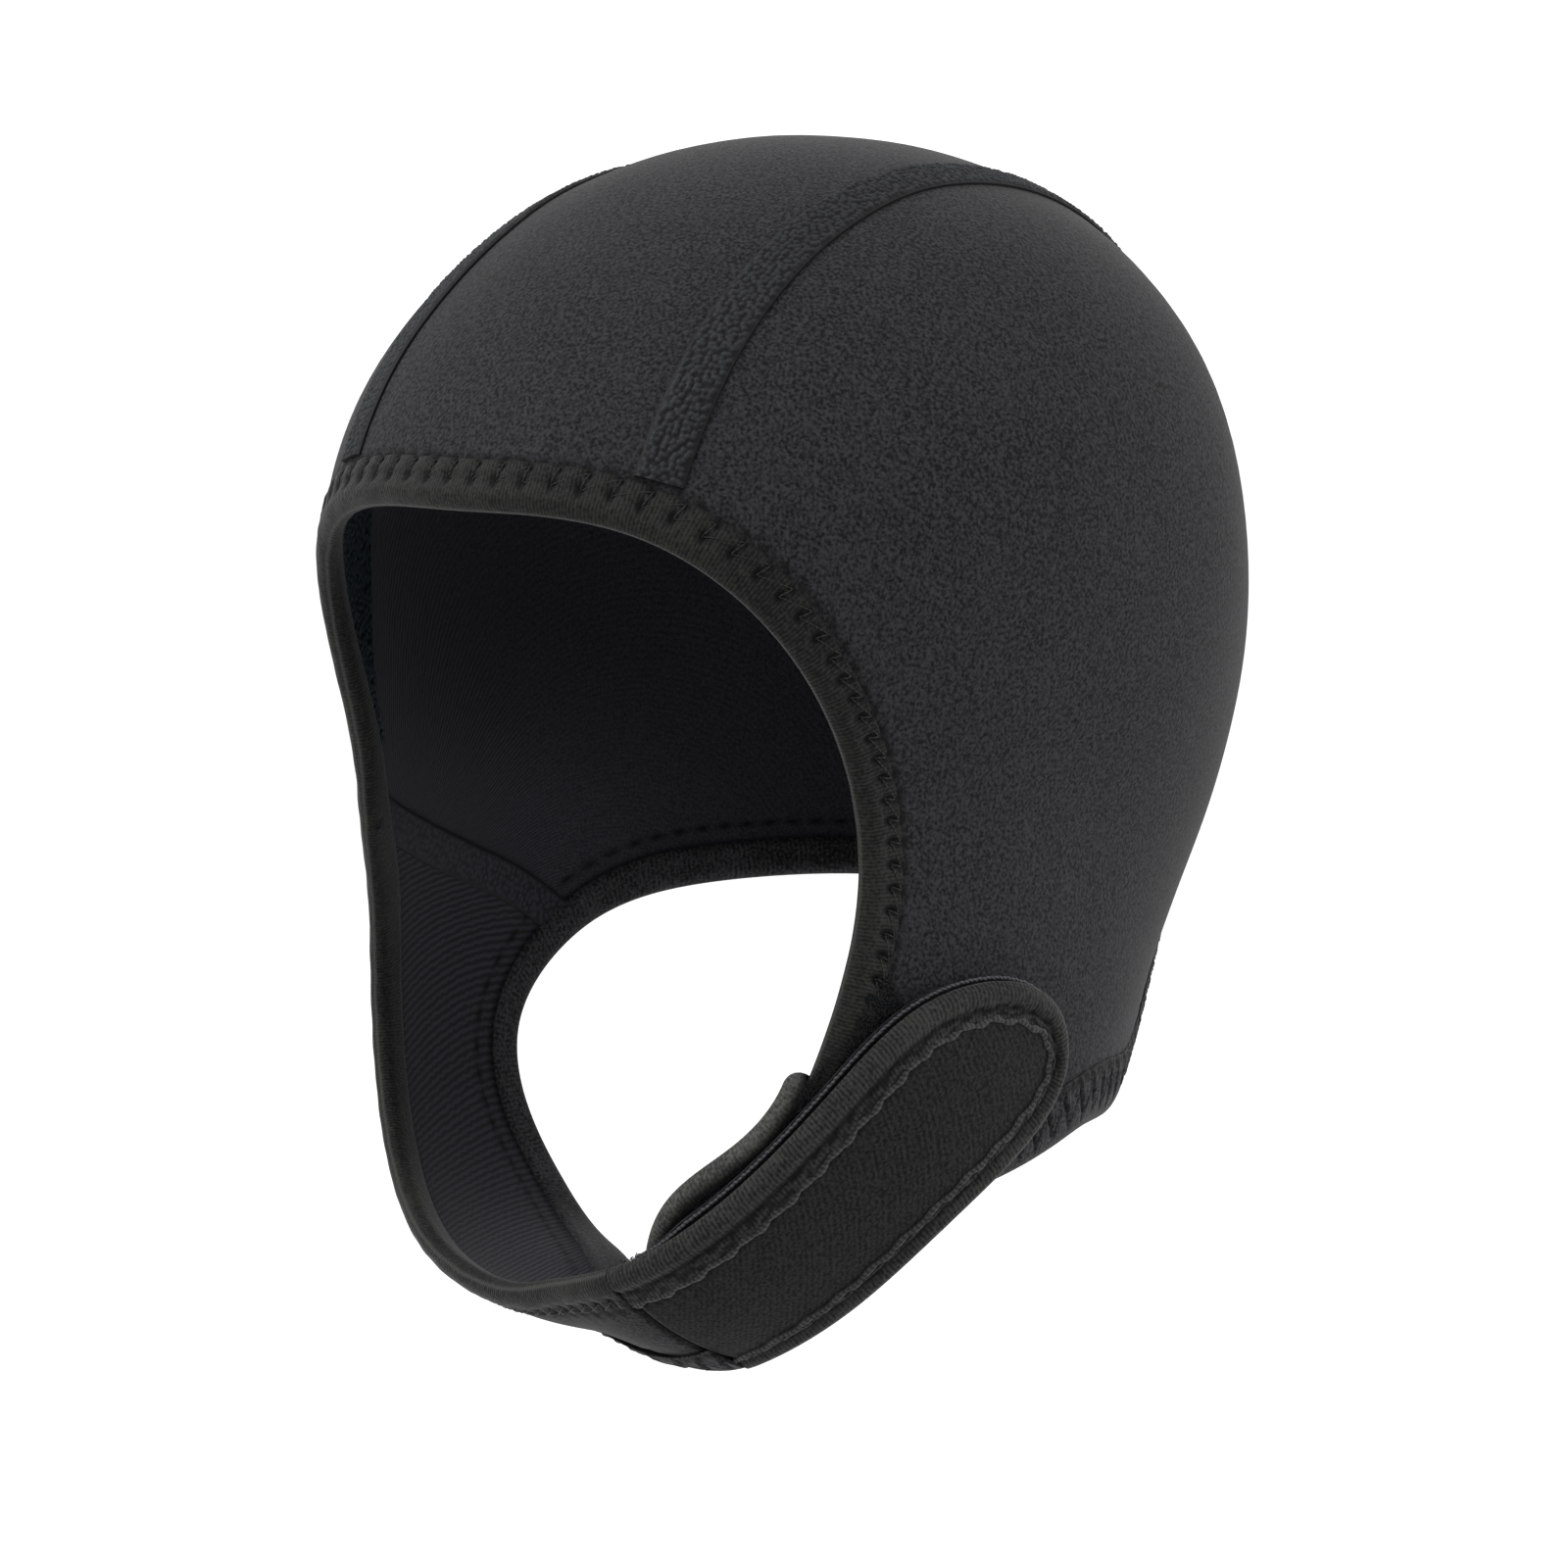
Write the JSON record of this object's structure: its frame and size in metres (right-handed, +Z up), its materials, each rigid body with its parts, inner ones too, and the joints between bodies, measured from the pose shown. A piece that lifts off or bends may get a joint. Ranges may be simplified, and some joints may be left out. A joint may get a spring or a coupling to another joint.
{
  "type": "neoprene swim hood",
  "caption": "Close-fitting neoprene swim hood with a crown panel, bound face and neck openings and a chin strap that fastens over a flap on the left.",
  "frame": {"origin": "the inside of the crown, where the top of the head sits", "axes": "+X the wearer's left, -Y the front, where the face looks out, +Z up"},
  "size_m": [0.1718, 0.1936, 0.226],
  "materials": {
    "neoprene": "matt knit-faced neoprene",
    "strap_neoprene": "matt knit-faced neoprene",
    "edge_roll": "ribbed elastic binding",
    "seam_tape": "pebbled seam tape",
    "hook": "hook side of a touch fastener",
    "loop": "loop side of a touch fastener"
  },
  "bodies": {
    "root": {"crown_panel": "neoprene", "left_side_panel": "neoprene", "right_side_panel": "neoprene", "right_cheek_panel": "neoprene", "left_cheek_flap": "neoprene", "chin_strap": "strap_neoprene", "face_binding": "edge_roll", "strap_binding": "edge_roll", "neck_binding": "edge_roll", "flap_binding": "edge_roll", "left_seam_tape": "seam_tape", "right_seam_tape": "seam_tape", "right_cheek_tape": "seam_tape", "hook_patch": "hook", "loop_patch": "loop"}
  },
  "joints": []
}
